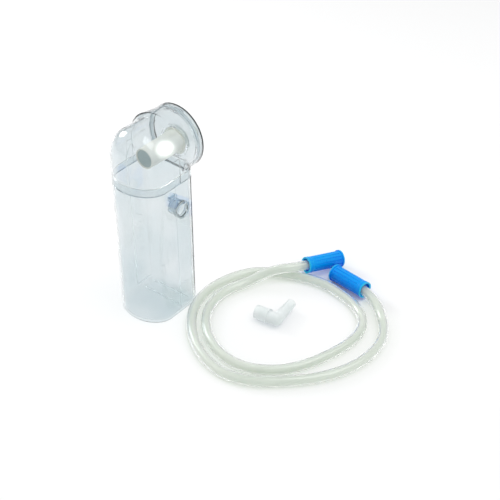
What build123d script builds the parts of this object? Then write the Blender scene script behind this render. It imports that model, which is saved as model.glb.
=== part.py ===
from build123d import *
import os
from math import pi, radians, tan

os.makedirs("parts", exist_ok=True)

# Suction canister kit: a clear canister with a filter cartridge in its head, a loose elbow,
# and a length of suction tubing with a moulded connector on each end.
# Millimetres. The origin is on the floor, at the centre of the canister's curved front.
# +X is across the canister, +Y is the way it docks on its pump, and +Z is up.

# Canister section, seen from above: a half ellipse in front, straight sides, a round-cornered back
body_half_width = 28.4
front_depth = 21.5
rear_y = 40.0
rear_corner_radius = 11.0
wall = 2.0
side_recess = 0.9
side_recess_y = 12.4
side_recess_z = 6.0

# Vessel
seam_z = 138.4
floor_thickness = 2.4
base_edge_radius = 2.4
floor_edge_radius = 1.8
rim_height = 7.4
rim_inset = 1.1
skirt_gap = 0.1
seal_thickness = 0.5
seal_inset = 0.2

# Floor ribs, locating lug and graduation marks on the vessel
floor_rib_places = (17.0, 30.0)
floor_rib_length = 40.0
floor_rib_width = 1.6
floor_rib_height = 1.4
lug_x = -17.0
lug_width = 7.0
lug_depth = 3.0
lug_z = 7.0
lug_height = 10.0
mark_x = 14.4
mark_count = 9
mark_first_z = 64.0
mark_pitch = 7.2
mark_thickness = 0.8
mark_relief = 0.35
mark_long = 5.0
mark_short = 3.0

# Head: a domed front on the same section, and a larger drum behind it
head_axis_above_seam = 25.2
head_axis_z = seam_z + head_axis_above_seam
drum_step = 1.7
drum_taper = 1.7
drum_radius = body_half_width + drum_step
drum_front_radius = drum_radius + drum_taper
drum_wall = 2.0
drum_front_y = 19.6
drum_end_y = 48.5
drum_straight_y = 40.0
drum_chamfer = 3.0
head_rib_x = 5.6
head_rib_width = 0.9
head_rib_relief = 0.5

# End plate that closes the drum
plate_thickness = 3.0
plate_lip = 1.5
plate_chamfer = 1.1
plug_gap = 0.05
plug_length = 5.0
plug_wall = 2.4
groove_width = 2.0
groove_depth = 1.0
groove_from_plate = 1.6
hub_height = 3.0
hub_wall = 1.8
key_length = 9.0
key_width = 2.4
key_height = 1.0
key_above_axis = 21.0

# Filter cartridge, on its own axis below the drum's
cartridge_below_axis = 4.2
cartridge_z = head_axis_z - cartridge_below_axis
mouth_y = 5.5
mouth_radius = 9.5
housing_radius = 10.5
housing_wall = 1.2
cartridge_flange_radius = 13.0
cartridge_flange_thickness = 2.0
flange_gap = 0.15
ledge_radius = 7.3
ledge_thickness = 1.5
mouth_bore = 8.8
ring_inner_radius = 8.2
ring_thickness = 0.7
membrane_thickness = 0.5
membrane_depth = 1.4
inner_gap = 0.05
media_radius = 8.4
media_start_y = 11.0
media_end_y = 34.0
grid_thickness = 1.6
grid_hole_radius = 1.5
grid_hole_circle = 4.6
grid_hole_count = 6
cap_y = 38.5
cap_thickness = 1.6
cap_socket_wall = 1.2
flange_seal_width = 1.2
flange_seal_depth = 1.0

# Vacuum port on the end plate
port_radius = 5.0
port_bore = 3.2
port_length = 7.0
port_flange_radius = 7.6
port_flange_thickness = 1.4
port_spigot_radius = 4.2
port_spigot_length = 5.0
nipple_relief = 0.2
nipple_radius = port_radius - nipple_relief
nipple_shoulder = 0.2
dock_seal_width = 4.0
dock_seal_thickness = 2.6
dock_seal_groove = 0.8

# Patient port in the vessel's +X side, with its check valve
inlet_from_recess = 0.25
inlet_below_seam = 27.4
inlet_z = seam_z - inlet_below_seam
inlet_bore = 6.6
inlet_wall = 0.8
inlet_bore_length = 10.6
inlet_seat_radius = 5.4
inlet_seat_thickness = 2.0
inlet_lip_width = 0.75
inlet_lip_thickness = 1.2
gasket_thickness = 0.5
lock_ring_thickness = 2.4
flap_radius = 6.1
flap_thickness = 1.0
flap_gap = 0.2
hinge_height = 8.4
hinge_offset = 1.5
pin_radius = 0.6
pin_gap = 0.05
knuckle_radius = 1.2
knuckle_length = 5.6
ear_gap = 0.3
ear_thickness = 1.2
ear_overlap = 1.0
ear_bottom = 5.8

# Suction tube
tube_radius = 4.75
tube_bore = 3.25
floor_level = tube_radius

# Connectors
connector_length = 40.0
connector_root_radius = 7.7
connector_tip_radius = 7.9
connector_flange_radius = 8.6
connector_flange_thickness = 1.7
skirt_radius = 8.0
skirt_length = 3.6
skirt_bore = 6.4
socket_length = 12.2
web_length = 3.2
connector_mouth = 5.0
flute_count = 14
flute_radius = 0.55
flute_start = 6.0
flute_end = 36.5

# Elbow
spigot_gap = 0.05
spigot_length = 11.5
elbow_flange_step = 0.4
elbow_flange_radius = inlet_bore + elbow_flange_step
elbow_flange_thickness = 2.0
elbow_flange_from_corner = 8.0
elbow_body_radius = 5.9
elbow_bore = 4.6
elbow_small_bore = 3.3
elbow_small_length = 27.5
elbow_grip = 0.3
elbow_tip_ease = 0.6

# Where the loose pieces lie: connector mouths and tube ends, and the elbow's corner
connector_a_mouth = (104.8, 166.1, 8.6)
connector_a_end = (88.8, 125.9, 15.8)
connector_b_mouth = (112.3, 141.6, 8.6)
connector_b_end = (151.3, 134.4, 11.0)
elbow_corner = (109.0, 52.6, elbow_flange_radius)
elbow_large_arm = (-0.993, -0.118, 0)
elbow_small_arm = (-0.118, 0.993, 0)

# The tube leaves each connector straight for this far
lead_length = 9.0

# The tube's route between the two connectors, from A to B, chosen by hand
tube_route = [
    (67.5, 100.5, 15.5),
    (53, 80, 5.5),
    (44, 58, floor_level),
    (45, 36, floor_level),
    (54, 16.5, floor_level),
    (69.5, 0.5, floor_level),
    (89.5, -11, floor_level),
    (111, -15.5, floor_level),
    (132.5, -10.5, floor_level),
    (151, 3, floor_level),
    (163.5, 21.5, floor_level),
    (171.5, 41.5, floor_level),
    (177, 62.5, floor_level),
    (178.5, 83.5, floor_level),
    (171, 103, floor_level),
    (153, 116.5, floor_level),
    (131, 122.5, floor_level),
    (108, 125.5, floor_level),
    (85, 119, floor_level),
    (64, 110.5, floor_level),
    (46.5, 98.5, floor_level),
    (36.5, 80.5, floor_level),
    (31, 59.5, floor_level),
    (31, 38, floor_level),
    (38, 17.5, floor_level),
    (51.5, -1, floor_level),
    (70, -16.5, floor_level),
    (92.5, -28, floor_level),
    (117, -31.5, floor_level),
    (140.5, -23.5, floor_level),
    (160.5, -7.5, floor_level),
    (180, 12.5, floor_level),
    (194, 35, floor_level),
    (201.5, 61.5, floor_level),
    (200, 90, floor_level),
    (186, 113.5, 5.5),
]


def save(shape, name):
    """Write one node."""
    export_step(shape, f"parts/{name}.step")


def turned(points, plane):
    """Solid turned about the plane's normal; points are (radius, distance along the normal)."""
    outline = Polyline(*[(r, 0, h) for r, h in points], close=True)
    return plane.location * revolve(make_face(outline), Axis.Z)


def ring(inner, outer, start, end, plane):
    """Plain turned ring."""
    return turned([(inner, start), (outer, start), (outer, end), (inner, end)], plane)


def disc(radius, start, end, plane):
    """Plain turned disc."""
    return plane.location * Pos(0, 0, start) * Cylinder(
        radius, end - start, align=(Align.CENTER, Align.CENTER, Align.MIN)
    )


def block(x, y, z):
    """Box from (low, high) pairs."""
    box = Box(x[1] - x[0], y[1] - y[0], z[1] - z[0], align=Align.MIN)
    return Pos(x[0], y[0], z[0]) * box


def section(inset):
    """The canister's section as a face, a given distance inside its outer wall."""
    half = body_half_width - inset
    depth = front_depth - inset
    back = rear_y - inset
    corner = rear_corner_radius - inset
    outline = [
        EllipticalCenterArc((0, 0), half, depth, start_angle=180, arc_size=180),
        Line((half, 0), (half, back - corner)),
        CenterArc((half - corner, back - corner), corner, 0, 90),
        Line((half - corner, back), (corner - half, back)),
        CenterArc((corner - half, back - corner), corner, 90, 90),
        Line((-half, back - corner), (-half, 0)),
    ]
    return make_face(outline)


def column(inset, bottom, top):
    """Upright prism on the canister's section."""
    return Pos(0, 0, bottom) * extrude(section(inset), top - bottom)


def side_recesses(bottom, top):
    """The two shallow flats on the rear part of the sides."""
    flats = []
    for side in (-1, 1):
        edges = sorted((side * (body_half_width - side_recess), side * (body_half_width + 1)))
        flats.append(block(edges, (side_recess_y, rear_y), (bottom, top)))
    return flats


drum_plane = Plane(origin=(0, 0, head_axis_z), x_dir=(1, 0, 0), z_dir=(0, 1, 0))
cartridge_plane = Plane(origin=(0, 0, cartridge_z), x_dir=(1, 0, 0), z_dir=(0, 1, 0))
side_face_x = body_half_width - side_recess
sleeve_radius = inlet_bore + inlet_wall
inlet_y = side_recess_y + inlet_from_recess + sleeve_radius + inlet_lip_width
inlet_plane = Plane(origin=(side_face_x, inlet_y, inlet_z), x_dir=(0, 1, 0), z_dir=(1, 0, 0))
rim_top = seam_z + rim_height
head_bottom = seam_z + seal_thickness
inner_wall_depth = wall - side_recess
lip_start = gasket_thickness
lip_end = lip_start + inlet_lip_thickness
seat_start = lip_end - inlet_bore_length
sleeve_start = seat_start - inlet_seat_thickness


def vessel():
    """Clear cup with a thinned rim, floor ribs, graduation marks and a rear locating lug."""
    outside = column(0, 0, seam_z)
    outside = fillet(outside.edges().group_by(Axis.Z)[0], base_edge_radius)
    for flat in side_recesses(side_recess_z, seam_z):
        outside -= flat
    for n in range(mark_count):
        low = mark_first_z + n * mark_pitch
        length = mark_long if n % 2 == 0 else mark_short
        band = column(-mark_relief, low, low + mark_thickness)
        window = block((mark_x - length / 2, mark_x + length / 2), (-front_depth - 1, 0), (low, rim_top))
        outside += band & window
    outside += column(rim_inset, seam_z - wall, rim_top)
    lug = Polyline(
        (lug_x - lug_width / 2, rear_y - wall / 2),
        (lug_x + lug_width / 2, rear_y - wall / 2),
        (lug_x, rear_y + lug_depth),
        close=True,
    )
    outside += Pos(0, 0, lug_z) * extrude(make_face(lug), lug_height)
    inside = column(wall, floor_thickness, rim_top + 1)
    inside = fillet(inside.edges().group_by(Axis.Z)[0], floor_edge_radius)
    cup = outside - inside
    for y in floor_rib_places:
        half = floor_rib_length / 2
        cup += block(
            (-half, half),
            (y - floor_rib_width / 2, y + floor_rib_width / 2),
            (floor_thickness - 1, floor_thickness + floor_rib_height),
        )
    hole = disc(sleeve_radius + plug_gap, -2 * wall, wall, inlet_plane)
    return cup - hole


def seam_seal():
    """Flat seal between the vessel's shoulder and the head's skirt."""
    return column(seal_inset, seam_z, head_bottom) - column(rim_inset - skirt_gap, seam_z, head_bottom)


def head_form(inset, bottom, drum_start, drum_stop, drum_bottom):
    """The head as a solid: column, domed crown and tapered drum, a given distance inside its face."""
    half = body_half_width - inset
    depth = front_depth - inset
    crown_end = drum_front_y + wall
    crown_outline = [
        EllipticalCenterArc((0, 0), half, depth, start_angle=270, arc_size=90),
        Line((half, 0), (half, crown_end)),
        Line((half, crown_end), (0, crown_end)),
        Line((0, crown_end), (0, -depth)),
    ]
    crown = Pos(0, 0, head_axis_z) * revolve(make_face(crown_outline), Axis.Y)
    crown &= block((-half, half), (-depth, crown_end), (head_axis_z, head_axis_z + half))
    front_rim = drum_front_radius - inset
    rim = drum_radius - inset
    drum = turned(
        [
            (0, drum_start),
            (front_rim - drum_chamfer, drum_start),
            (front_rim, drum_start + drum_chamfer),
            (rim, drum_straight_y),
            (rim, drum_stop),
            (0, drum_stop),
        ],
        drum_plane,
    )
    room = drum_front_radius + 1
    drum &= block((-room, room), (drum_start, drum_stop), (drum_bottom, head_axis_z + room))
    return column(inset, bottom, head_axis_z) + crown + drum


def head_shell():
    """Clear head: skirt over the vessel's rim, domed front and rear drum, open at both."""
    outer = head_form(0, head_bottom, drum_front_y, drum_end_y, head_bottom)
    for flat in side_recesses(head_bottom, head_axis_z):
        outer -= flat & block(
            (-drum_radius, drum_radius), (0, drum_front_y), (head_bottom, head_axis_z)
        )
    fin = head_form(-head_rib_relief, rim_top, drum_front_y, drum_end_y, head_bottom)
    fin &= block(
        (head_rib_x - head_rib_width / 2, head_rib_x + head_rib_width / 2),
        (-front_depth - 1, 3),
        (rim_top, head_axis_z + drum_radius),
    )
    outer += fin
    inner = head_form(
        wall, head_bottom - 1, drum_front_y + wall, drum_end_y + 1, head_bottom + wall
    )
    relief = column(rim_inset - skirt_gap, head_bottom - 1, rim_top + skirt_gap)
    return outer - inner - relief


def end_plate():
    """Disc that plugs the drum, with a lip, an O-ring groove, a cartridge hub and a key."""
    outer = drum_radius - drum_wall - plug_gap
    inside_face = drum_end_y + plate_lip - plate_thickness
    plug_start = inside_face - plug_length
    groove_end = inside_face - groove_from_plate
    groove_start = groove_end - groove_width
    plate = turned(
        [
            (0, inside_face),
            (outer - plug_wall, inside_face),
            (outer - plug_wall, plug_start),
            (outer, plug_start),
            (outer, groove_start),
            (outer - groove_depth, groove_start),
            (outer - groove_depth, groove_end),
            (outer, groove_end),
            (outer, drum_end_y),
            (drum_radius, drum_end_y),
            (drum_radius, drum_end_y + plate_lip - plate_chamfer),
            (drum_radius - plate_chamfer, drum_end_y + plate_lip),
            (0, drum_end_y + plate_lip),
        ],
        drum_plane,
    )
    hub_inner = cartridge_flange_radius + flange_gap
    plate += ring(
        hub_inner, hub_inner + hub_wall, inside_face - hub_height, inside_face + 1, cartridge_plane
    )
    key_z = head_axis_z + key_above_axis
    plate += block(
        (-key_length / 2, key_length / 2),
        (drum_end_y, drum_end_y + plate_lip + key_height),
        (key_z - key_width / 2, key_z + key_width / 2),
    )
    # The drum's underside is flat at the skirt, so the plate is too
    plate -= block(
        (-drum_radius, drum_radius), (plug_start - 1, rear_y + drum_radius), (0, head_bottom)
    )
    inner_floor = head_bottom + drum_wall + plug_gap
    plate -= block(
        (-drum_radius, drum_radius), (plug_start - 1, drum_end_y), (0, inner_floor)
    )
    return plate - disc(port_radius + plug_gap, 0, drum_end_y + 2 * plate_thickness, cartridge_plane)


def end_plate_seal():
    """Ring in the plate's groove, cut level with the plate's flat underside."""
    outer = drum_radius - drum_wall
    inside_face = drum_end_y + plate_lip - plate_thickness
    end = inside_face - groove_from_plate
    seal = ring(outer - plug_gap - groove_depth, outer, end - groove_width, end, drum_plane)
    floor = head_bottom + drum_wall + plug_gap
    return seal - block((-drum_radius, drum_radius), (0, drum_end_y), (0, floor))


plate_inside_y = drum_end_y + plate_lip - plate_thickness
plate_outside_y = drum_end_y + plate_lip
flange_start_y = plate_inside_y - cartridge_flange_thickness
back_bore = housing_radius - housing_wall
seal_outer = cartridge_flange_radius - 0.6


def filter_housing():
    """White cartridge tube: open mouth, membrane ledge and rear flange with a seal groove."""
    ledge_start = mouth_y + membrane_depth
    return turned(
        [
            (mouth_bore, mouth_y),
            (mouth_radius, mouth_y),
            (housing_radius, flange_start_y),
            (cartridge_flange_radius, flange_start_y),
            (cartridge_flange_radius, plate_inside_y),
            (seal_outer, plate_inside_y),
            (seal_outer, plate_inside_y - flange_seal_depth),
            (seal_outer - flange_seal_width, plate_inside_y - flange_seal_depth),
            (seal_outer - flange_seal_width, plate_inside_y),
            (back_bore, plate_inside_y),
            (back_bore, media_end_y),
            (media_radius + inner_gap, media_start_y),
            (ledge_radius, ledge_start + ledge_thickness),
            (ledge_radius, ledge_start),
            (mouth_bore, ledge_start),
        ],
        cartridge_plane,
    )


def filter_seal():
    """Seal ring in the cartridge flange, against the end plate."""
    return ring(
        seal_outer - flange_seal_width,
        seal_outer,
        plate_inside_y - flange_seal_depth,
        plate_inside_y,
        cartridge_plane,
    )


def filter_membrane():
    """Water-repelling membrane on the ledge in the cartridge's mouth."""
    end = mouth_y + membrane_depth
    return disc(mouth_bore - inner_gap, end - membrane_thickness, end, cartridge_plane)


def membrane_ring():
    """Snap ring that holds the membrane."""
    end = mouth_y + membrane_depth - membrane_thickness
    return ring(ring_inner_radius, mouth_bore - inner_gap, end - ring_thickness, end, cartridge_plane)


def filter_media():
    """Plug of filter wadding behind the membrane."""
    return disc(media_radius - 2 * inner_gap, media_start_y, media_end_y, cartridge_plane)


def media_grid():
    """Perforated disc that keeps the wadding out of the vacuum port."""
    grid = disc(back_bore - inner_gap, media_end_y, media_end_y + grid_thickness, cartridge_plane)
    drill = Cylinder(grid_hole_radius, 4 * grid_thickness)
    middle = Pos(0, 0, media_end_y)
    grid -= cartridge_plane.location * middle * drill
    for spot in PolarLocations(grid_hole_circle, grid_hole_count):
        grid -= cartridge_plane.location * middle * spot * drill
    return grid


def filter_cap():
    """Rear cap of the cartridge, with the socket that the vacuum port's spigot enters."""
    socket = port_spigot_radius + inner_gap
    tube_end = plate_inside_y - port_flange_thickness - 0.2
    return turned(
        [
            (socket, cap_y),
            (back_bore - inner_gap, cap_y),
            (back_bore - inner_gap, cap_y + cap_thickness),
            (socket + cap_socket_wall, cap_y + cap_thickness),
            (socket + cap_socket_wall, tube_end),
            (socket, tube_end),
        ],
        cartridge_plane,
    )


def vacuum_port():
    """Bush through the end plate: spigot into the cartridge, nipple towards the pump."""
    flange_start = plate_inside_y - port_flange_thickness
    shoulder = plate_outside_y + dock_seal_thickness + nipple_shoulder
    return turned(
        [
            (port_bore, flange_start - port_spigot_length),
            (port_spigot_radius, flange_start - port_spigot_length),
            (port_spigot_radius, flange_start),
            (port_flange_radius, flange_start),
            (port_flange_radius, plate_inside_y),
            (port_radius, plate_inside_y),
            (port_radius, shoulder),
            (nipple_radius, shoulder),
            (nipple_radius, plate_outside_y + port_length),
            (port_bore, plate_outside_y + port_length),
        ],
        cartridge_plane,
    )


def dock_seal():
    """Soft ring round the nipple, with a groove in the face that meets the pump."""
    outer = port_radius + dock_seal_width
    end = plate_outside_y + dock_seal_thickness
    third = dock_seal_width / 3
    return turned(
        [
            (port_radius, plate_outside_y),
            (outer, plate_outside_y),
            (outer, end),
            (outer - third, end),
            (outer - third, end - dock_seal_groove),
            (port_radius + third, end - dock_seal_groove),
            (port_radius + third, end),
            (port_radius, end),
        ],
        cartridge_plane,
    )


hinge_x = side_face_x + sleeve_start - hinge_offset
hinge_z = inlet_z + hinge_height


def hinge_rod(radius, length):
    """Cylinder on the flap's hinge axis, along Y."""
    return Pos(hinge_x, inlet_y, hinge_z) * Rot(90, 0, 0) * Cylinder(radius, length)


def patient_port():
    """Sleeve through the vessel's side, with a valve seat and two ears at its inner end."""
    lip_radius = sleeve_radius + inlet_lip_width
    port = turned(
        [
            (inlet_seat_radius, sleeve_start),
            (sleeve_radius, sleeve_start),
            (sleeve_radius, lip_start),
            (lip_radius, lip_start),
            (lip_radius, lip_end),
            (inlet_bore, lip_end),
            (inlet_bore, seat_start),
            (inlet_seat_radius, seat_start),
        ],
        inlet_plane,
    )
    seat_x = side_face_x + sleeve_start
    near = knuckle_length / 2 + ear_gap
    for side in (-1, 1):
        edges = sorted((inlet_y + side * near, inlet_y + side * (near + ear_thickness)))
        port += block(
            (hinge_x - knuckle_radius, seat_x + ear_overlap),
            edges,
            (inlet_z + ear_bottom, hinge_z + knuckle_radius),
        )
    return port - hinge_rod(pin_radius, 4 * knuckle_length)


def port_gasket():
    """Gasket between the port's lip and the vessel's side."""
    return ring(sleeve_radius, sleeve_radius + inlet_lip_width, 0, lip_start, inlet_plane)


def port_lock_ring():
    """Ring pressed on the sleeve inside the vessel."""
    return ring(
        sleeve_radius,
        sleeve_radius + inlet_lip_width,
        -inner_wall_depth - lock_ring_thickness,
        -inner_wall_depth,
        inlet_plane,
    )


def valve_flap():
    """Flap that hangs on its pin against the seat and swings inwards."""
    end = sleeve_start - flap_gap
    face_x = side_face_x + end
    flap = disc(flap_radius, end - flap_thickness, end, inlet_plane)
    flap += block(
        (face_x - flap_thickness, face_x),
        (inlet_y - knuckle_length / 2, inlet_y + knuckle_length / 2),
        (inlet_z, hinge_z),
    )
    flap += hinge_rod(knuckle_radius, knuckle_length)
    return flap - hinge_rod(pin_radius + pin_gap, 2 * knuckle_length)


def valve_pin():
    """Hinge pin through both ears."""
    return hinge_rod(pin_radius, knuckle_length + 2 * (ear_gap + ear_thickness))


def connector_plane(end, mouth):
    """Plane at a connector's tube end, facing its mouth."""
    return Plane(origin=end, z_dir=Vector(mouth) - Vector(end))


def connector(plane):
    """Moulded connector: skirt and socket for the tube, tapered mouth, flutes and a flange."""
    socket_end = skirt_length + socket_length
    flange_start = connector_length - connector_flange_thickness
    body = turned(
        [
            (skirt_bore, 0),
            (skirt_radius, 0),
            (skirt_radius, skirt_length),
            (connector_root_radius, skirt_length + 1),
            (connector_tip_radius, flange_start),
            (connector_flange_radius, flange_start),
            (connector_flange_radius, connector_length),
            (connector_mouth, connector_length),
            (connector_mouth, socket_end + web_length),
            (tube_bore, socket_end + web_length),
            (tube_bore, socket_end),
            (tube_radius, socket_end),
            (tube_radius, skirt_length),
            (skirt_bore, skirt_length),
        ],
        Plane.XY,
    )
    flute = Pos(0, 0, flute_start) * Cylinder(
        flute_radius, flute_end - flute_start, align=(Align.CENTER, Align.CENTER, Align.MIN)
    )
    for spot in PolarLocations((connector_root_radius + connector_tip_radius) / 2, flute_count):
        body -= spot * flute
    return plane.location * body


plane_a = connector_plane(connector_a_end, connector_a_mouth)
plane_b = connector_plane(connector_b_end, connector_b_mouth)


def route_points():
    """The tube's centre line, from the bottom of one socket to the bottom of the other."""
    depth = skirt_length + socket_length
    start = plane_a.origin + plane_a.z_dir * depth
    end = plane_b.origin + plane_b.z_dir * depth
    lead_a = plane_a.origin - plane_a.z_dir * lead_length
    lead_b = plane_b.origin - plane_b.z_dir * lead_length
    return [start, lead_a] + [Vector(p) for p in tube_route] + [lead_b, end]


def bend_radii(points):
    """One radius for each corner: as large as its two runs allow."""
    radii = []
    for before, here, after in zip(points, points[1:], points[2:]):
        turn = (here - before).get_angle(after - here)
        run = min((here - before).length, (after - here).length)
        radii.append(0.45 * run / tan(radians(turn / 2)))
    return radii


def suction_tube():
    """Hollow tube along its route."""
    points = route_points()
    radii = bend_radii(points)
    path = FilletPolyline(*points, radius=radii)
    start = Plane(origin=path @ 0, z_dir=path % 0)
    tube = sweep(start * (Circle(tube_radius) - Circle(tube_bore)), path=path)
    expected = pi * (tube_radius**2 - tube_bore**2) * path.length
    print("bend radii:", [round(r, 1) for r in radii])
    print("tube length:", round(path.length, 1), "volume against section x length:",
          round(tube.volume / expected, 4))
    return tube


def elbow():
    """Right-angle adaptor: straight spigot for the patient port, tapered end for a connector."""
    corner = Vector(elbow_corner)
    large = Plane(origin=corner, z_dir=elbow_large_arm)
    small = Plane(origin=corner, z_dir=elbow_small_arm)
    flange_end = elbow_flange_from_corner + elbow_flange_thickness
    spigot_end = flange_end + spigot_length
    tip = connector_mouth - elbow_tip_ease
    root = connector_mouth + elbow_grip
    body = disc(elbow_body_radius, 0, elbow_flange_from_corner, large)
    body += disc(elbow_flange_radius, elbow_flange_from_corner, flange_end, large)
    body += disc(inlet_bore - spigot_gap, flange_end, spigot_end, large)
    body += turned(
        [(0, 0), (elbow_body_radius, 0), (root, elbow_body_radius), (tip, elbow_small_length),
         (0, elbow_small_length)],
        small,
    )
    body += Pos(*corner) * Sphere(elbow_body_radius)
    body -= disc(elbow_bore, 0, spigot_end + 1, large)
    body -= disc(elbow_small_bore, 0, elbow_small_length + 1, small)
    return body - Pos(*corner) * Sphere(elbow_bore)


pieces = {
    "vessel": vessel(),
    "seam_seal": seam_seal(),
    "head_shell": head_shell(),
    "end_plate": end_plate(),
    "end_plate_seal": end_plate_seal(),
    "filter_housing": filter_housing(),
    "filter_seal": filter_seal(),
    "filter_membrane": filter_membrane(),
    "membrane_ring": membrane_ring(),
    "filter_media": filter_media(),
    "media_grid": media_grid(),
    "filter_cap": filter_cap(),
    "vacuum_port": vacuum_port(),
    "dock_seal": dock_seal(),
    "patient_port": patient_port(),
    "port_gasket": port_gasket(),
    "port_lock_ring": port_lock_ring(),
    "valve_flap": valve_flap(),
    "valve_pin": valve_pin(),
    "connector_a": connector(plane_a),
    "connector_b": connector(plane_b),
    "suction_tube": suction_tube(),
    "elbow": elbow(),
}
for name, shape in pieces.items():
    save(shape, name)
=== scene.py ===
from math import cos, pi, radians, sin

import bpy
from mathutils import Matrix, Vector


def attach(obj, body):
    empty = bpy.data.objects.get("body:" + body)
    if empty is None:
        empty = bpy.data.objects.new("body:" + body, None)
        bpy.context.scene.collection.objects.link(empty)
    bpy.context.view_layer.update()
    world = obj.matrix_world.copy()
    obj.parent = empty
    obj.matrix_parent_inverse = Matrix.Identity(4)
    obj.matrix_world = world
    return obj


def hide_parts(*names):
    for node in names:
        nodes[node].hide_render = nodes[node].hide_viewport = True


# Suction canister kit. Metres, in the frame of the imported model: the origin is on the floor at the
# centre of the canister's curved front, +X across it, +Y the way it docks on its pump, +Z up.

MM = 0.001

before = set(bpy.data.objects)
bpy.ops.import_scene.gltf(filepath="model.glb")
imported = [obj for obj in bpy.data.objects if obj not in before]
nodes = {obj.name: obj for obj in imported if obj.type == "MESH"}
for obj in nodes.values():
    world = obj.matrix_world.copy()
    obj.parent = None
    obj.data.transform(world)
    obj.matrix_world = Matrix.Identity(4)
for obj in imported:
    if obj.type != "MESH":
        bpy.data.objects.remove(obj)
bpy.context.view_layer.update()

# Camera
CAMERA_PLACE = Vector((535.4, -528.1, 620.5)) * MM
CAMERA_AIM = Vector((18.07, 128.39, 0)) * MM
CAMERA_LENS = 74.35
CAMERA_SENSOR = 36.0
CAMERA_ROLL = radians(0.1)

# Studio
SKY_STRENGTH = 0.72
HORIZON_COLOUR = (0.55, 0.60, 0.63, 1)
SKY_COLOUR = (1, 1, 1, 1)
SKY_WHITE_FROM = 0.45
FLOOR_HALF = 4.0
FLOOR_LOW = -0.15 * MM
SPOT_BLEND = 0.35
SPOT_RADIUS = 4 * MM

# Suction tube: metres where MM is written, otherwise millimetres. A strand on the floor has its
# centre one radius up.
TUBE_FLOOR = 4.75
TUBE_RADIUS = TUBE_FLOOR * MM
TUBE_BORE = 3.25 * MM
TUBE_STEPS = 20
TUBE_SIDES = 48
LEAD_LENGTH = 9.0
SOCKET_DEPTH = 15.8
CONNECTOR_LENGTH = 40.0

# Connectors: tube end and mouth, in millimetres
CONNECTOR_ENDS = {
    "connector_a": (Vector((88.8, 125.9, 15.8)), Vector((104.8, 166.1, 8.6))),
    "connector_b": (Vector((151.3, 134.4, 11.0)), Vector((112.3, 141.6, 8.6))),
}

# Blue plastic: painted shade, deep blue low down fading to paler blue higher up as if lit from above:
# where this fade starts above the floor, and how far it runs
PAINTED_SHADE_FROM = 2 * MM
PAINTED_SHADE_HEIGHT = 18 * MM

# The tube's route between the connectors, in millimetres
TUBE_ROUTE = [
    (67.5, 100.5, 15.5),
    (53, 80, 5.5),
    (44, 58, TUBE_FLOOR),
    (45, 36, TUBE_FLOOR),
    (54, 16.5, TUBE_FLOOR),
    (69.5, 0.5, TUBE_FLOOR),
    (89.5, -11, TUBE_FLOOR),
    (111, -15.5, TUBE_FLOOR),
    (132.5, -10.5, TUBE_FLOOR),
    (151, 3, TUBE_FLOOR),
    (163.5, 21.5, TUBE_FLOOR),
    (171.5, 41.5, TUBE_FLOOR),
    (177, 62.5, TUBE_FLOOR),
    (178.5, 83.5, TUBE_FLOOR),
    (171, 103, TUBE_FLOOR),
    (153, 116.5, TUBE_FLOOR),
    (131, 122.5, TUBE_FLOOR),
    (108, 125.5, TUBE_FLOOR),
    (85, 119, TUBE_FLOOR),
    (64, 110.5, TUBE_FLOOR),
    (46.5, 98.5, TUBE_FLOOR),
    (36.5, 80.5, TUBE_FLOOR),
    (31, 59.5, TUBE_FLOOR),
    (31, 38, TUBE_FLOOR),
    (38, 17.5, TUBE_FLOOR),
    (51.5, -1, TUBE_FLOOR),
    (70, -16.5, TUBE_FLOOR),
    (92.5, -28, TUBE_FLOOR),
    (117, -31.5, TUBE_FLOOR),
    (140.5, -23.5, TUBE_FLOOR),
    (160.5, -7.5, TUBE_FLOOR),
    (180, 12.5, TUBE_FLOOR),
    (194, 35, TUBE_FLOOR),
    (201.5, 61.5, TUBE_FLOOR),
    (200, 90, TUBE_FLOOR),
    (186, 113.5, 5.5),
]


# ---------------------------------------------------------------- camera, light and floor


def make_camera():
    """Camera at the photograph's angle."""
    data = bpy.data.cameras.new("camera")
    data.lens = CAMERA_LENS
    data.sensor_width = CAMERA_SENSOR
    data.clip_end = 20
    camera = bpy.data.objects.new("camera", data)
    aim = (CAMERA_AIM - CAMERA_PLACE).to_track_quat("-Z", "Y").to_matrix().to_4x4()
    roll = Matrix.Rotation(CAMERA_ROLL, 4, "Z")
    camera.matrix_world = Matrix.Translation(CAMERA_PLACE) @ aim @ roll
    bpy.context.scene.collection.objects.link(camera)
    bpy.context.scene.camera = camera


def area_light(name, place, aim, width, height, power):
    """Soft rectangular lamp: places and sides in metres, power in watts."""
    data = bpy.data.lights.new(name, "AREA")
    data.shape = "RECTANGLE"
    data.size = width
    data.size_y = height
    data.energy = power
    lamp = bpy.data.objects.new(name, data)
    place = Vector(place)
    turn = (Vector(aim) - place).to_track_quat("-Z", "Y").to_matrix().to_4x4()
    lamp.matrix_world = Matrix.Translation(place) @ turn
    bpy.context.scene.collection.objects.link(lamp)


def spot_light(name, place, aim, spread, power):
    """Narrow round beam: places in metres, full cone angle in radians, power in watts."""
    data = bpy.data.lights.new(name, "SPOT")
    data.spot_size = spread
    data.spot_blend = SPOT_BLEND
    data.shadow_soft_size = SPOT_RADIUS
    data.energy = power
    lamp = bpy.data.objects.new(name, data)
    place = Vector(place)
    turn = (Vector(aim) - place).to_track_quat("-Z", "Y").to_matrix().to_4x4()
    lamp.matrix_world = Matrix.Translation(place) @ turn
    bpy.context.scene.collection.objects.link(lamp)


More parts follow.
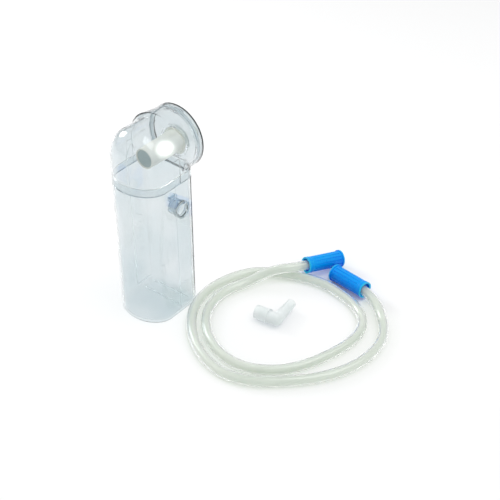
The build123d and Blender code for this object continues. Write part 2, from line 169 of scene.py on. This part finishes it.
def make_world():
    """White studio, a little darker towards the horizon so that clear edges read."""
    world = bpy.data.worlds.new("studio")
    bpy.context.scene.world = world
    world.use_nodes = True
    tree = world.node_tree
    tree.nodes.clear()
    out = tree.nodes.new("ShaderNodeOutputWorld")
    back = tree.nodes.new("ShaderNodeBackground")
    back.inputs["Strength"].default_value = SKY_STRENGTH
    place = tree.nodes.new("ShaderNodeTexCoord")
    split = tree.nodes.new("ShaderNodeSeparateXYZ")
    fade = tree.nodes.new("ShaderNodeValToRGB")
    fade.color_ramp.elements[0].position = 0.0
    fade.color_ramp.elements[0].color = HORIZON_COLOUR
    fade.color_ramp.elements[1].position = SKY_WHITE_FROM
    fade.color_ramp.elements[1].color = SKY_COLOUR
    tree.links.new(place.outputs["Generated"], split.inputs[0])
    tree.links.new(split.outputs["Z"], fade.inputs[0])
    tree.links.new(fade.outputs["Color"], back.inputs["Color"])
    tree.links.new(back.outputs[0], out.inputs[0])


def make_floor():
    """Plain white floor, a hair below the clear base so that the two faces do not meet."""
    half = FLOOR_HALF
    low = FLOOR_LOW
    data = bpy.data.meshes.new("floor")
    corners = [(-half, -half, low), (half, -half, low), (half, half, low), (-half, half, low)]
    data.from_pydata(corners, [], [(0, 1, 2, 3)])
    floor = bpy.data.objects.new("floor", data)
    bpy.context.scene.collection.objects.link(floor)
    paint, shader = new_material("floor_white")
    shader.inputs["Base Color"].default_value = (0.97, 0.97, 0.97, 1)
    shader.inputs["Roughness"].default_value = 0.9
    shader.inputs["Specular IOR Level"].default_value = 0.0
    data.materials.append(paint)


# ---------------------------------------------------------------- materials


def new_material(name):
    """Node material with a Principled shader: the material and its shader node."""
    paint = bpy.data.materials.new(name)
    paint.use_nodes = True
    return paint, paint.node_tree.nodes["Principled BSDF"]


def object_place(tree):
    """Socket with the place in the object's own metres."""
    return tree.nodes.new("ShaderNodeTexCoord").outputs["Object"]


def noise(tree, scale, detail=2.0, stretch=None):
    """Noise value over the object, features about 1/scale metres."""
    node = tree.nodes.new("ShaderNodeTexNoise")
    node.inputs["Scale"].default_value = scale
    node.inputs["Detail"].default_value = detail
    place = object_place(tree)
    if stretch is not None:
        shape = tree.nodes.new("ShaderNodeMapping")
        shape.inputs["Scale"].default_value = stretch
        tree.links.new(place, shape.inputs["Vector"])
        place = shape.outputs["Vector"]
    tree.links.new(place, node.inputs["Vector"])
    return node.outputs["Fac"]


def ramp(tree, value, low, high, start=0.0, end=1.0):
    """Colour ramp between two RGB colours or two numbers."""
    node = tree.nodes.new("ShaderNodeValToRGB")
    first, last = node.color_ramp.elements
    first.position = start
    last.position = end
    first.color = (*low, 1) if isinstance(low, tuple) else (low, low, low, 1)
    last.color = (*high, 1) if isinstance(high, tuple) else (high, high, high, 1)
    tree.links.new(value, node.inputs["Fac"])
    return node.outputs["Color"]


def bump(tree, shader, height, depth):
    """Bump from a 0 to 1 height, depth in metres."""
    node = tree.nodes.new("ShaderNodeBump")
    node.inputs["Strength"].default_value = 1.0
    node.inputs["Distance"].default_value = depth
    tree.links.new(height, node.inputs["Height"])
    tree.links.new(node.outputs["Normal"], shader.inputs["Normal"])


def let_light_through(paint, shader, tint):
    """Shadow and diffuse rays pass straight through the surface, with a tint, so light gets inside."""
    tree = paint.node_tree
    out = tree.nodes["Material Output"]
    path = tree.nodes.new("ShaderNodeLightPath")
    either = tree.nodes.new("ShaderNodeMath")
    either.operation = "MAXIMUM"
    tree.links.new(path.outputs["Is Shadow Ray"], either.inputs[0])
    tree.links.new(path.outputs["Is Diffuse Ray"], either.inputs[1])
    clear = tree.nodes.new("ShaderNodeBsdfTransparent")
    clear.inputs["Color"].default_value = (*tint, 1)
    mix = tree.nodes.new("ShaderNodeMixShader")
    tree.links.new(either.outputs[0], mix.inputs["Fac"])
    tree.links.new(shader.outputs[0], mix.inputs[1])
    tree.links.new(clear.outputs[0], mix.inputs[2])
    tree.links.new(mix.outputs[0], out.inputs["Surface"])


def clear_plastic(name, low, high, roughness):
    """Clear moulded plastic: glassy, a slight blue-grey tint that drifts, faint flow waviness."""
    paint, shader = new_material(name)
    tree = paint.node_tree
    shader.inputs["Transmission Weight"].default_value = 1.0
    shader.inputs["IOR"].default_value = 1.15
    shader.inputs["Coat Weight"].default_value = 1.0
    shader.inputs["Coat Roughness"].default_value = 0.02
    shader.inputs["Coat IOR"].default_value = 1.5
    let_light_through(paint, shader, (0.96, 0.975, 0.98))
    tint = ramp(tree, noise(tree, 22.0), low, high, 0.35, 0.65)
    tree.links.new(tint, shader.inputs["Base Color"])
    rough = ramp(tree, noise(tree, 160.0), roughness * 0.6, roughness * 1.6, 0.3, 0.7)
    tree.links.new(rough, shader.inputs["Roughness"])
    bump(tree, shader, noise(tree, 60.0, 1.0, (1, 1, 0.35)), 0.00006)
    return paint


def satin_plastic(name, low, high, roughness, grain):
    """Opaque satin plastic with a fine moulded grain."""
    paint, shader = new_material(name)
    tree = paint.node_tree
    shader.inputs["IOR"].default_value = 1.5
    shader.inputs["Subsurface Weight"].default_value = 0.25
    shader.inputs["Subsurface Radius"].default_value = (0.004, 0.004, 0.004)
    shader.inputs["Subsurface Scale"].default_value = 1.0
    tree.links.new(ramp(tree, noise(tree, 90.0), low, high, 0.35, 0.65), shader.inputs["Base Color"])
    rough = ramp(tree, noise(tree, 700.0), roughness * 0.8, roughness * 1.2, 0.3, 0.7)
    tree.links.new(rough, shader.inputs["Roughness"])
    bump(tree, shader, noise(tree, grain), 0.00002)
    return paint


def silicone(name, low, high):
    """Translucent soft rubber."""
    paint, shader = new_material(name)
    tree = paint.node_tree
    shader.inputs["Transmission Weight"].default_value = 0.75
    shader.inputs["IOR"].default_value = 1.25
    let_light_through(paint, shader, (0.9, 0.93, 0.94))
    tree.links.new(ramp(tree, noise(tree, 120.0), low, high, 0.35, 0.65), shader.inputs["Base Color"])
    rough = ramp(tree, noise(tree, 500.0), 0.3, 0.45, 0.3, 0.7)
    tree.links.new(rough, shader.inputs["Roughness"])
    bump(tree, shader, noise(tree, 1200.0), 0.00002)
    return paint


def frosted_plastic():
    """Frosted natural plastic: light scatters inside, soft gloss outside."""
    paint, shader = new_material("frosted_plastic")
    tree = paint.node_tree
    shader.inputs["Transmission Weight"].default_value = 0.4
    shader.inputs["IOR"].default_value = 1.3
    let_light_through(paint, shader, (0.84, 0.86, 0.87))
    tint = ramp(tree, noise(tree, 120.0), (0.88, 0.925, 0.915), (0.94, 0.97, 0.965), 0.35, 0.65)
    tree.links.new(tint, shader.inputs["Base Color"])
    rough = ramp(tree, noise(tree, 500.0), 0.28, 0.42, 0.3, 0.7)
    tree.links.new(rough, shader.inputs["Roughness"])
    bump(tree, shader, noise(tree, 1400.0), 0.00002)
    return paint


def tube_plastic():
    """Soft clear tubing: cloudy grey-green, glossy, with a faint drift of its tint."""
    paint, shader = new_material("tube")
    tree = paint.node_tree
    shader.inputs["Transmission Weight"].default_value = 0.6
    shader.inputs["IOR"].default_value = 1.2
    shader.inputs["Coat Weight"].default_value = 1.0
    shader.inputs["Coat Roughness"].default_value = 0.05
    shader.inputs["Coat IOR"].default_value = 1.5
    tint = ramp(tree, noise(tree, 14.0), (0.80, 0.85, 0.79), (0.88, 0.91, 0.86), 0.3, 0.7)
    let_light_through(paint, shader, (0.88, 0.90, 0.87))
    tree.links.new(tint, shader.inputs["Base Color"])
    rough = ramp(tree, noise(tree, 300.0), 0.16, 0.24, 0.3, 0.7)
    tree.links.new(rough, shader.inputs["Roughness"])
    bump(tree, shader, noise(tree, 60.0), 0.00001)
    return paint


def share_along(tree, start, direction, length):
    """0 at the start, 1 at the given length along a direction; all in metres."""
    less = tree.nodes.new("ShaderNodeVectorMath")
    less.operation = "SUBTRACT"
    less.inputs[1].default_value = start
    tree.links.new(object_place(tree), less.inputs[0])
    dot = tree.nodes.new("ShaderNodeVectorMath")
    dot.operation = "DOT_PRODUCT"
    dot.inputs[1].default_value = tuple(c / length for c in direction)
    tree.links.new(less.outputs["Vector"], dot.inputs[0])
    return dot.outputs["Value"]


def blue_plastic(name, end, along):
    """Blue moulded plastic with painted light: painted shade makes it deeper blue below and paler above,
    and a painted glow makes it paler and more cyan at its two thin ends.
    """
    paint, shader = new_material(name)
    tree = paint.node_tree
    shader.inputs["IOR"].default_value = 1.5
    shader.inputs["Specular IOR Level"].default_value = 0.2
    shader.inputs["Subsurface Weight"].default_value = 0.2
    shader.inputs["Subsurface Radius"].default_value = (0.0003, 0.002, 0.004)
    shader.inputs["Subsurface Scale"].default_value = 1.0
    # painted shade: the blue is deeper low down and paler higher up, standing in for light falling from
    # above
    height = share_along(tree, (0, 0, PAINTED_SHADE_FROM), (0, 0, 1), PAINTED_SHADE_HEIGHT)
    body = ramp(tree, height, (0.0, 0.12, 0.84), (0.0, 0.36, 0.90))
    # painted glow: a pale cyan band at each thin end stands in for light shining through the thin plastic
    share = share_along(tree, tuple(end * MM), tuple(along), CONNECTOR_LENGTH * MM)
    painted_rim_glow = tree.nodes.new("ShaderNodeValToRGB")
    stops = painted_rim_glow.color_ramp.elements
    stops[0].position = 0.012
    stops[0].color = (1, 1, 1, 1)
    stops[1].position = 0.985
    stops[1].color = (1, 1, 1, 1)
    for place in (0.03, 0.965):
        stop = stops.new(place)
        stop.color = (0, 0, 0, 1)
    tree.links.new(share, painted_rim_glow.inputs["Fac"])
    mix = tree.nodes.new("ShaderNodeMix")
    mix.data_type = "RGBA"
    mix.inputs["B"].default_value = (0.02, 0.48, 0.83, 1)
    tree.links.new(painted_rim_glow.outputs["Color"], mix.inputs["Factor"])
    tree.links.new(body, mix.inputs["A"])
    tree.links.new(mix.outputs["Result"], shader.inputs["Base Color"])
    rough = ramp(tree, noise(tree, 600.0), 0.25, 0.38, 0.3, 0.7)
    tree.links.new(rough, shader.inputs["Roughness"])
    bump(tree, shader, noise(tree, 1200.0), 0.00002)
    return paint


def membrane_fabric():
    """Dark water-repelling membrane with a fine fibre texture."""
    paint, shader = new_material("membrane")
    tree = paint.node_tree
    tint = ramp(tree, noise(tree, 1500.0, 4.0), (0.38, 0.46, 0.455), (0.52, 0.60, 0.59), 0.3, 0.7)
    tree.links.new(tint, shader.inputs["Base Color"])
    rough = ramp(tree, noise(tree, 900.0), 0.6, 0.8, 0.3, 0.7)
    tree.links.new(rough, shader.inputs["Roughness"])
    bump(tree, shader, noise(tree, 2500.0, 4.0), 0.00005)
    return paint


def wadding():
    """Off-white filter wadding."""
    paint, shader = new_material("filter_media")
    tree = paint.node_tree
    tint = ramp(tree, noise(tree, 900.0, 6.0), (0.70, 0.69, 0.64), (0.90, 0.90, 0.87), 0.3, 0.7)
    tree.links.new(tint, shader.inputs["Base Color"])
    rough = ramp(tree, noise(tree, 900.0), 0.85, 0.98, 0.3, 0.7)
    tree.links.new(rough, shader.inputs["Roughness"])
    bump(tree, shader, noise(tree, 1600.0, 6.0), 0.0003)
    return paint


def steel():
    """Drawn steel pin."""
    paint, shader = new_material("steel")
    tree = paint.node_tree
    shader.inputs["Metallic"].default_value = 1.0
    tint = ramp(tree, noise(tree, 400.0, 3.0, (1, 0.1, 1)), (0.62, 0.62, 0.63), (0.8, 0.8, 0.81), 0.3, 0.7)
    tree.links.new(tint, shader.inputs["Base Color"])
    rough = ramp(tree, noise(tree, 900.0, 3.0, (1, 0.1, 1)), 0.2, 0.35, 0.3, 0.7)
    tree.links.new(rough, shader.inputs["Roughness"])
    return paint


# ---------------------------------------------------------------- tube and connectors


def connector_axis(name):
    """A connector's tube end and the unit vector to its mouth, in millimetres."""
    end, mouth = CONNECTOR_ENDS[name]
    return end, (mouth - end).normalized()


def tube_points():
    """The tube's control points in metres, from the bottom of one socket to the bottom of the other."""
    end_a, along_a = connector_axis("connector_a")
    end_b, along_b = connector_axis("connector_b")
    points = [end_a + along_a * SOCKET_DEPTH, end_a - along_a * LEAD_LENGTH]
    points += [Vector(p) for p in TUBE_ROUTE]
    points += [end_b - along_b * LEAD_LENGTH, end_b + along_b * SOCKET_DEPTH]
    return [p * MM for p in points]


def smooth_line(points, resolution):
    """Points read from one NURBS spline through the given control points."""
    curve = bpy.data.curves.new("route", "CURVE")
    curve.dimensions = "3D"
    spline = curve.splines.new("NURBS")
    spline.points.add(len(points) - 1)
    for spot, place in zip(spline.points, points):
        spot.co = (*place, 1)
    spline.order_u = 3
    spline.use_endpoint_u = True
    spline.resolution_u = resolution
    curve.resolution_u = resolution
    carrier = bpy.data.objects.new("route", curve)
    bpy.context.scene.collection.objects.link(carrier)
    seen = carrier.evaluated_get(bpy.context.evaluated_depsgraph_get())
    mesh = bpy.data.meshes.new_from_object(seen)
    line = [v.co.copy() for v in mesh.vertices]
    bpy.data.objects.remove(carrier)
    bpy.data.curves.remove(curve)
    bpy.data.meshes.remove(mesh)
    return line


def frames_along(line):
    """A side vector and an up vector at each point, turned as little as possible."""
    tangents = []
    for n in range(len(line)):
        before = line[max(n - 1, 0)]
        after = line[min(n + 1, len(line) - 1)]
        tangents.append((after - before).normalized())
    side = tangents[0].cross(Vector((0, 0, 1))).normalized()
    frames = []
    for tangent in tangents:
        side = (side - tangent * side.dot(tangent)).normalized()
        frames.append((side, tangent.cross(side)))
    return frames


def hollow_tube(line, outer, inner, sides):
    """Closed mesh of a tube: outer wall, bore, and a flat ring at each end."""
    frames = frames_along(line)
    verts = []
    for place, (side, up) in zip(line, frames):
        for radius in (outer, inner):
            for k in range(sides):
                angle = 2 * pi * k / sides
                verts.append(place + side * (radius * cos(angle)) + up * (radius * sin(angle)))
    faces = []
    per = 2 * sides
    for n in range(len(line) - 1):
        for k in range(sides):
            a = n * per + k
            b = n * per + (k + 1) % sides
            faces.append((a, a + per, b + per, b))
            c = a + sides
            d = b + sides
            faces.append((c, d, d + per, c + per))
    last = (len(line) - 1) * per
    for k in range(sides):
        k2 = (k + 1) % sides
        faces.append((k, k2, sides + k2, sides + k))
        faces.append((last + k, last + sides + k, last + sides + k2, last + k2))
    return verts, faces


def mesh_object(name, verts, faces):
    """Smooth-shaded mesh object."""
    data = bpy.data.meshes.new(name)
    data.from_pydata([tuple(v) for v in verts], [], faces)
    data.validate()
    data.shade_smooth()
    made = bpy.data.objects.new(name, data)
    bpy.context.scene.collection.objects.link(made)
    return made


def suction_tube():
    """The tube, along the spline of its route."""
    line = smooth_line(tube_points(), TUBE_STEPS)
    verts, faces = hollow_tube(line, TUBE_RADIUS, TUBE_BORE, TUBE_SIDES)
    tube = mesh_object("tube_visual", verts, faces)
    tube.data.materials.append(tube_plastic())
    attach(tube, "tubing")
    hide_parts("suction_tube")


def paint_node(name, paint):
    """Give a CAD node one material."""
    made = nodes[name]
    made.data.materials.clear()
    made.data.materials.append(paint)


def paint_nodes():
    """Materials of the CAD nodes that stay."""
    clear = clear_plastic("clear_plastic", (0.775, 0.828, 0.845), (0.855, 0.88, 0.89), 0.03)
    white = satin_plastic("white_plastic", (0.93, 0.90, 0.80), (0.97, 0.95, 0.88), 0.38, 900.0)
    seal = silicone("soft_seal", (0.80, 0.86, 0.89), (0.90, 0.94, 0.95))
    line = satin_plastic("seam_line", (0.30, 0.38, 0.44), (0.40, 0.48, 0.54), 0.5, 1200.0)
    for name in ("vessel", "head_shell", "end_plate", "patient_port", "port_lock_ring"):
        paint_node(name, clear)
    for name in ("filter_housing", "filter_cap", "media_grid", "membrane_ring", "vacuum_port"):
        paint_node(name, white)
    for name in ("end_plate_seal", "filter_seal", "port_gasket", "dock_seal", "valve_flap"):
        paint_node(name, seal)
    paint_node("seam_seal", line)
    for name in CONNECTOR_ENDS:
        paint_node(name, blue_plastic("blue_" + name, *connector_axis(name)))
    paint_node("elbow", frosted_plastic())
    paint_node("filter_membrane", membrane_fabric())
    paint_node("filter_media", wadding())
    paint_node("valve_pin", steel())


make_camera()
suction_tube()
make_world()
make_floor()
paint_nodes()
area_light("overhead", place=(0.7, 0.3, 1.6), aim=(0.08, 0.06, 0.05), width=1.2, height=1.2, power=10)
area_light("left_box", place=(-1.05, 0.02, 0.62), aim=(0, 0, 0.12), width=0.34, height=0.34, power=4)
spot_light(
    "cartridge_spot",
    place=(0.35, -0.34, 0.56),
    aim=(0.009, 0.0235, 0.1635),
    spread=radians(1.3),
    power=40,
)
bpy.context.scene.view_settings.view_transform = "Standard"
